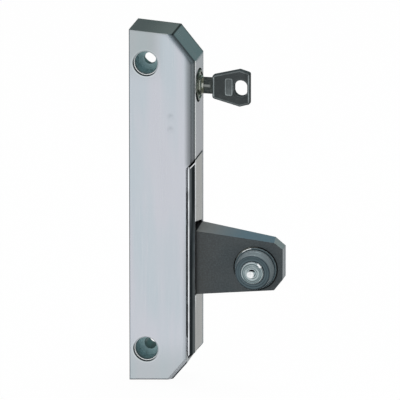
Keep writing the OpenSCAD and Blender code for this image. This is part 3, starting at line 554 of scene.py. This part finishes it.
def skin(name, rings, closeEnds, finish):
    # rings is an array (rows, points, 3) in millimetres; neighbouring rows are joined by quads, points run
    # round and close, and either the last row joins the first (a ring) or the two ends are capped
    rows, count = rings.shape[:2]
    here = np.arange(rows * count).reshape(rows, count)
    below = here[:-1] if closeEnds else here
    above = here[1:] if closeEnds else np.roll(here, -1, axis=0)
    quads = np.stack([below, np.roll(below, -1, axis=1), np.roll(above, -1, axis=1), above], axis=-1)
    faces = quads.reshape(-1, 4).tolist()
    if closeEnds:
        faces += [here[0][::-1].tolist(), here[-1].tolist()]
    mesh = bpy.data.meshes.new(name)
    mesh.from_pydata((rings.reshape(-1, 3) * mm).tolist(), [], faces)
    mesh.polygons.foreach_set("use_smooth", np.ones(len(faces), dtype=bool))
    mesh.materials.append(finish)
    piece = bpy.data.objects.new(name, mesh)
    bpy.context.scene.collection.objects.link(piece)
    return piece


def softened(profile, radius, steps=4):
    # each inner corner of a polyline is replaced by a quadratic curve between the two points that lie a
    # radius away from the corner on its two sides
    points = np.array(profile, float)
    line = [points[0]]
    for before, corner, after in zip(points[:-2], points[1:-1], points[2:]):
        start = corner + (before - corner) * min(0.45, radius / np.linalg.norm(before - corner))
        end = corner + (after - corner) * min(0.45, radius / np.linalg.norm(after - corner))
        t = np.linspace(0.0, 1.0, steps)[:, None]
        line.extend((1 - t) ** 2 * start + 2 * t * (1 - t) * corner + t ** 2 * end)
    line.append(points[-1])
    return np.array(line)


def lathe(name, profile, axis, centre, count, closeEnds, finish):
    # a profile of [radius, distance along the axis] carried round a line through the centre, by the angle a:
    # (x + r sin a, along, z + r cos a) about Y, or (along, y - r sin a, z + r cos a) about X
    a = np.linspace(0.0, 2 * np.pi, count, endpoint=False)
    r, along = profile[:, 0][:, None], profile[:, 1][:, None] + 0 * a
    up = centre[1] + r * np.cos(a)
    if axis == "Y":
        rings = np.stack([centre[0] + r * np.sin(a), along, up], axis=-1)
    else:
        rings = np.stack([along, centre[0] - r * np.sin(a), up], axis=-1)
    return skin(name, rings, closeEnds, finish)


sleeve = {
    "front": -27.7, "back": -18.5, "baseRadius": 11.7, "frontRadius": 9.9, "boreRadius": 5.5,
    "seatRadius": 6.45, "seatDepth": 3.6, "corner": 0.15, "points": 96,
}


def turnRoller():
    # tapered roller: flat front with a fine turned ring, taper with a shallow line in it, groove, base
    # flange, bore and the screw's seat
    s = sleeve
    y0, y1, base = s["front"], s["back"], s["baseRadius"]
    seat = y0 + s["seatDepth"]
    profile = [
        (s["boreRadius"], seat), (s["seatRadius"], seat), (s["seatRadius"], y0),
        (8.0, y0), (8.15, y0 + 0.12), (8.35, y0 + 0.12), (8.5, y0),
        (s["frontRadius"] - 0.5, y0), (s["frontRadius"], y0 + 0.5),
        (10.4, -23.2), (10.25, -23.0), (10.3, -22.6), (10.5, -22.4),
        (10.8, -20.5), (10.2, -20.35), (10.2, -19.85),
        (base - 0.2, -19.7), (base, -19.4), (base, y1 - 0.4), (base - 0.4, y1),
        (s["boreRadius"], y1), (s["boreRadius"], seat),
    ]
    line = softened(profile, s["corner"])[:-1]
    piece = lathe("rollerSleeve", line, "Y", rollerAxis, s["points"], False, finishes["roller"])
    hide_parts("roller")
    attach(piece, "roller")


turnRoller()

screw = {
    "front": -29.2, "headRadius": 6.35, "headBack": -24.2, "shoulder": 4.0, "seat": -18.3, "thread": 3.0,
    "threadDepth": 0.3, "pitch": 0.7, "end": -7.6, "corner": 0.12, "points": 72,
}


def turnScrew():
    # shoulder screw: face with two turned grooves and a dished middle, head, shoulder and a shank whose
    # radius goes up by the thread's depth over half a pitch and down again over the other half
    s = screw
    y0, r = s["front"], s["headRadius"]
    face = [
        (0.0, y0 + 0.9), (0.9, y0 + 0.75), (1.0, y0 + 0.45), (2.1, y0 + 0.1), (2.3, y0), (2.9, y0),
        (3.05, y0 + 0.25), (3.5, y0 + 0.25), (3.65, y0), (4.5, y0 + 0.05),
        (4.65, y0 + 0.3), (5.0, y0 + 0.3), (5.15, y0 + 0.05), (r - 0.45, y0 + 0.15), (r, y0 + 0.7),
        (r, s["headBack"]), (s["shoulder"], s["headBack"]),
        (s["shoulder"], s["seat"]), (s["thread"], s["seat"]),
    ]
    turns = np.arange(s["seat"] + 0.4, s["end"] - 0.4, s["pitch"])
    radii = np.tile([s["thread"] - s["threadDepth"], s["thread"]], len(turns))
    teeth = np.column_stack([radii, np.sort(np.concatenate([turns, turns + s["pitch"] / 2]))])
    line = np.concatenate([softened(face, s["corner"], 3)[1:], teeth, [(s["thread"] - 0.4, s["end"])]])
    piece = lathe("shoulderScrew", line, "Y", rollerAxis, s["points"], True, finishes["roller_screw"])
    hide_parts("roller_screw")
    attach(piece, "arm")


turnScrew()

barrel = {
    "back": 12.6, "seat": 25.8, "front": 27.75, "radius": 8.0, "rim": 8.5, "bore": 5.55, "clip": (17.2, 18.4),
    "clipRadius": 7.0, "corner": 0.15, "points": 96,
}


def turnBarrel():
    # lock barrel: outside with the clip's groove, rim with a rounded front, a step down to the plug, and the
    # bore
    b = barrel
    bore, rim, x1 = b["bore"], b["rim"], b["front"]
    clipBack, clipFront = b["clip"]
    profile = [
        (bore, b["back"]), (b["radius"], b["back"]), (b["radius"], clipBack), (b["clipRadius"], clipBack),
        (b["clipRadius"], clipFront), (b["radius"], clipFront), (b["radius"], b["seat"]), (rim, b["seat"]),
        (rim, x1 - 0.6), (rim - 0.5, x1), (rim - 1.1, x1), (rim - 1.5, x1 - 0.7),
        (bore + 0.75, x1 - 0.8), (bore + 0.6, x1 - 0.3), (bore, x1 - 0.4), (bore, b["back"]),
    ]
    line = softened(profile, b["corner"])[:-1]
    piece = lathe("lockBarrel", line, "X", lockAxis, b["points"], False, finishes["lock_cylinder"])
    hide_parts("lock_cylinder")
    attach(piece, "body")


turnBarrel()
print("roller, screw and lock barrel turned")

# widest is a share of the length, line the raised line's two distances from the outline, and holeAt the ring
# hole's middle from the left end
keyHead = {
    "left": 34.6, "middle": 67.1, "length": 21.1, "widest": 0.725, "halfLeft": 6.5, "halfWide": 10.45,
    "halfRight": 8.75, "thickness": 3.5, "corners": (1.7, 0.9, 1.3), "line": (0.5, 1.05), "sink": 0.3,
    "holeWidth": 7.2, "holeHeight": 9.0, "holeAt": 16.0, "perCorner": 8, "perSide": 28,
}


def headLoop(inset):
    # the head's outline moved inwards, as corner curves joined by straight runs, with the same number of
    # points at any inset; the corner radius shrinks with the inset so that the loops stay evenly spaced
    k = keyHead
    l, w = k["length"], k["length"] * k["widest"]
    raw = np.array([(0.0, -k["halfLeft"]), (0.0, k["halfLeft"]), (w, k["halfWide"]),
                    (l, k["halfRight"]), (l, -k["halfRight"]), (w, -k["halfWide"])])
    radii = [k["corners"][i] for i in (0, 0, 1, 2, 2, 1)]
    side = np.roll(raw, -1, axis=0) - raw
    side /= np.linalg.norm(side, axis=1)[:, None]
    inward = np.column_stack([side[:, 1], -side[:, 0]])
    bends = []
    for i, radius in enumerate(radii):
        a, b = inward[i - 1], inward[i]
        corner = raw[i] + inset * (a + b) / (1 + a @ b)
        reach = max(radius - 0.6 * inset, 0.35) * math.tan(math.acos(np.clip(a @ b, -1, 1)) / 2)
        start, end = corner - side[i - 1] * reach, corner + side[i] * reach
        t = np.linspace(0.0, 1.0, k["perCorner"])[:, None]
        bends.append((1 - t) ** 2 * start + 2 * t * (1 - t) * corner + t ** 2 * end)
    loops = []
    for bend, following in zip(bends, bends[1:] + bends[:1]):
        t = np.linspace(0.0, 1.0, k["perSide"] + 2)[1:-1, None]
        loops += [bend, (1 - t) * bend[-1] + t * following[0]]
    return np.concatenate(loops)


def holeLoop(grow, spokes):
    # the ring hole's outline, a rounded slot, met by rays from its middle towards the points of the head's
    # outline
    k = keyHead
    middle = np.array((k["holeAt"], 0.0))
    rays = spokes - middle
    rays /= np.linalg.norm(rays, axis=1)[:, None]
    r = k["holeWidth"] / 2 + grow
    straight = (k["holeHeight"] - k["holeWidth"]) / 2
    onSide = r / np.maximum(np.abs(rays[:, 0]), 1e-9)
    lift = straight * np.abs(rays[:, 1])
    onEnd = lift + np.sqrt(np.maximum(lift ** 2 - straight ** 2 + r ** 2, 0.0))
    reach = np.where(np.abs(rays[:, 1]) * onSide <= straight, onSide, onEnd)
    return middle + rays * reach[:, None]


def markEdgeLight(piece, shares):
    # how much painted highlight each point takes, from 0 to 1, which the plastic shows paler
    layer = piece.data.attributes.new("worn", "FLOAT", "POINT")
    layer.data.foreach_set("value", np.array(shares, dtype=np.float32))


def mouldKeyHead():
    # a closed ring of loops: from the outer wall over the back's rounded rim, raised line and sunk panel to
    # the hole, through it to the front, and over the front's panel, line and rim to the wall again
    k = keyHead
    t = k["thickness"] / 2
    inner, outer = k["line"]
    panel = t - k["sink"]
    edge = headLoop(0.0)
    # inset, distance from the head's middle plane, painted edge light
    rim = [
        (0.0, -0.4 * t, 0.0), (0.0, -0.72 * t, 0.0), (0.12, -0.88 * t, 0.05), (0.4, -t + 0.08, 0.05),
        (inner - 0.15, -t + 0.02, 0.05), (inner, -t, 0.9), ((inner + outer) / 2, -t - 0.02, 1.0),
        (outer, -t, 0.9), (outer + 0.2, -panel - 0.05, 0.1), (outer + 0.35, -panel, 0.0),
    ]
    rows = [(headLoop(inset), y, worn) for inset, y, worn in rim]
    flat, lip = headLoop(outer + 0.5), holeLoop(0.9, edge)
    rows += [((1 - share) * flat + share * lip, -panel, 0.0) for share in (0.0, 0.25, 0.5, 0.75, 1.0)]
    # growth of the hole, distance from the middle plane, painted edge light
    mouth = [
        (0.7, -panel - 0.12, 0.25), (0.3, -panel - 0.14, 0.2), (0.06, -panel, 0.1), (0.0, -panel + 0.3, 0.0),
    ]
    rows += [(holeLoop(grow, edge), y, worn) for grow, y, worn in mouth]
    ordered = [(loop, -y, worn) for loop, y, worn in rows] + rows[::-1]
    across = np.array([k["left"] + loop[:, 0] for loop, y, worn in ordered])
    up = np.array([k["middle"] + loop[:, 1] for loop, y, worn in ordered])
    depth = lockAxis[0] + np.array([y for loop, y, worn in ordered])[:, None] + 0 * up
    piece = skin("keyHead", np.stack([across, depth, up], axis=-1), False, finishes["key_head"])
    # the painted highlight on the raised line is brighter along the two upright sides
    run = np.abs(np.roll(edge, -1, axis=0) - np.roll(edge, 1, axis=0))
    upright = 0.3 + 0.7 * (run[:, 1] > 3 * run[:, 0])
    markEdgeLight(piece, (np.array([worn for loop, y, worn in ordered])[:, None] * upright).ravel())
    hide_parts("key_head")
    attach(piece, "key")


mouldKeyHead()

plaque = {
    "left": 41.7, "right": 46.0, "low": 62.6, "high": 72.4, "rise": 0.22, "frame": 0.5, "power": 8.0,
    "points": 64,
}


def raisePlaque():
    # plain raised frame round a bare field: loops of a rounded rectangle, |x / w| ** power + |z / h| ** power
    # = 1, that climb from below the panel to the frame and step down to the field
    q = plaque
    w, h = (q["right"] - q["left"]) / 2, (q["high"] - q["low"]) / 2
    cx, cz = (q["right"] + q["left"]) / 2, (q["high"] + q["low"]) / 2
    up, power = q["rise"], q["power"]
    a = np.linspace(0.0, 2 * np.pi, q["points"], endpoint=False)
    c, s = np.cos(a), np.sin(a)
    # inset, height above the panel, painted edge light
    steps = [
        (0.0, -0.15, 0.0), (0.0, up * 0.5, 0.3), (0.12, up, 0.9), (q["frame"], up, 0.9),
        (q["frame"] + 0.15, up * 0.45, 0.2), (w * 0.6, up * 0.4, 0.3), (w * 0.97, up * 0.4, 0.3),
    ]
    for side, label in ((-1, "Front"), (1, "Back")):
        loops = []
        for inset, lift, share in steps:
            r = (np.abs(c / (w - inset)) ** power + np.abs(s / (h - inset)) ** power) ** (-1 / power)
            y = lockAxis[0] + side * (keyHead["thickness"] / 2 - keyHead["sink"] + lift)
            loops.append(np.column_stack([cx + r * c, np.full(len(a), y), cz - side * r * s]))
        piece = skin("keyPlaque" + label, np.array(loops), True, finishes["key_head"])
        markEdgeLight(piece, np.repeat([share for inset, lift, share in steps], len(a)))
        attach(piece, "key")


raisePlaque()
print("key head moulded")

# the ramps are the tones of the room seen in gloss, at two heights, from the back over the left, the front
# and the right to the back again; a lamp is a name, a place, a side length, a power and a tint
studio = {
    "low": (
        (0.0, (0.3, 0.31, 0.31)), (0.08, (0.3, 0.31, 0.31)), (0.2, (0.22, 0.23, 0.24)),
        (0.26, (0.3, 0.32, 0.33)), (0.34, (0.95, 0.97, 1.0)), (0.42, (0.9, 0.92, 0.93)),
        (0.5, (0.93, 0.94, 0.94)), (0.57, (0.9, 0.91, 0.92)), (0.66, (0.34, 0.36, 0.36)),
        (0.74, (0.2, 0.21, 0.205)), (0.8, (0.16, 0.17, 0.165)),
        (0.86, (0.1, 0.11, 0.105)), (0.91, (0.42, 0.43, 0.42)), (0.94, (0.56, 0.57, 0.56)),
        (0.98, (0.5, 0.51, 0.5)), (1.0, (0.3, 0.31, 0.31)),
    ),
    "high": (
        (0.0, (0.13, 0.16, 0.155)), (0.1, (0.13, 0.16, 0.155)), (0.25, (0.5, 0.52, 0.53)),
        (0.4, (0.8, 0.8, 0.8)), (0.5, (0.86, 0.87, 0.88)), (0.56, (0.62, 0.65, 0.67)),
        (0.63, (0.3, 0.35, 0.36)),
        (0.76, (0.03, 0.04, 0.04)), (0.84, (0.04, 0.05, 0.05)), (0.92, (0.16, 0.23, 0.225)),
        (0.965, (0.15, 0.22, 0.215)), (1.0, (0.13, 0.16, 0.155)),
    ),
    "gain": 1.1, "nadir": (0.03, 0.035, 0.04), "fill": (0.6, 0.6, 0.6), "white": (1.0, 1.0, 1.0),
    "floorZ": -100.8, "floorSide": 5000.0, "floorTone": (0.8, 0.8, 0.8), "floorSeen": 0.97,
    "lampAim": (15.0, -12.0, 0.0),
    "lamps": (
        ("frontSoftbox", (-500, -1500, 900), 900, 8.0, (1.0, 1.0, 1.0)),
        ("topSoftbox", (200, 300, 1500), 800, 14.0, (0.93, 0.97, 1.0)),
    ),
}


def lightRoom():
    # camera and transmission rays see white; glossy rays see a room whose tone depends on the direction
    world = bpy.data.worlds.new("studioRoom")
    bpy.context.scene.world = world
    world.use_nodes = True
    f = Tree(world.node_tree)
    dx, dy, dz = f.parts(f.node("ShaderNodeTexCoord", out="Generated"))
    turn = dx.maths("ARCTAN2", dy * -1.0) / (2 * math.pi) + 0.5
    tones = []
    for stops in (studio["low"], studio["high"]):
        # a ramp stops at 1, so its tones are divided by the gain first
        stops = [(place, times(colour, 1 / studio["gain"])) for place, colour in stops]
        ramp = f.node("ShaderNodeValToRGB", {"stops": stops}, {0: turn})
        values = {"Vector": ramp, "Scale": studio["gain"]}
        tones.append(f.node("ShaderNodeVectorMath", {"operation": "SCALE"}, values))
    room = f.blend(dz.rise(-0.24, -0.15), *tones)
    room = f.blend(dz.rise(-0.5, -0.75), room, studio["nadir"])
    glossy = f.node("ShaderNodeLightPath", out="Is Glossy Ray")
    tone = f.blend(glossy, studio["fill"], room)
    background = f.tree.nodes["Background"]
    connect(f.tree, f.blend(f.seen(), tone, studio["white"]), background.inputs["Color"])


def layFloor():
    # one square below the latch; its own shade is pale, and camera rays see it nearly white so that only a
    # shadow is left
    half, z = studio["floorSide"] / 2 * mm, studio["floorZ"] * mm
    mesh = bpy.data.meshes.new("paleFloor")
    corners = [(-half, -half, z), (half, -half, z), (half, half, z), (-half, half, z)]
    mesh.from_pydata(corners, [], [(0, 1, 2, 3)])
    floor = bpy.data.objects.new("paleFloor", mesh)
    bpy.context.scene.collection.objects.link(floor)
    f = Finish("paleFloor", Roughness=0.8)
    f.set("Base Color", studio["floorTone"])
    shade = Wire(f.tree, f.shader.outputs[0])
    glow = f.node("ShaderNodeEmission", None, {"Color": studio["white"], "Strength": 1.0})
    surface = f.node("ShaderNodeMixShader", None, {0: f.seen() * studio["floorSeen"], 1: shade, 2: glow})
    connect(f.tree, surface, f.tree.nodes["Material Output"].inputs["Surface"])
    mesh.materials.append(f.material)
    floor.visible_glossy = False


def hangLamp(name, place, size, power, tint):
    # a square area lamp that looks at the latch and isn't mirrored in the metal
    lamp = bpy.data.lights.new(name, "AREA")
    lamp.size = size * mm
    lamp.energy = power
    lamp.color = tint
    holder = bpy.data.objects.new(name, lamp)
    holder.location = Vector(place) * mm
    look = Vector(studio["lampAim"]) * mm - holder.location
    holder.rotation_euler = look.to_track_quat("-Z", "Y").to_euler()
    holder.visible_glossy = False
    bpy.context.scene.collection.objects.link(holder)


lightRoom()
layFloor()
for lampValues in studio["lamps"]:
    hangLamp(*lampValues)
print("studio lit")
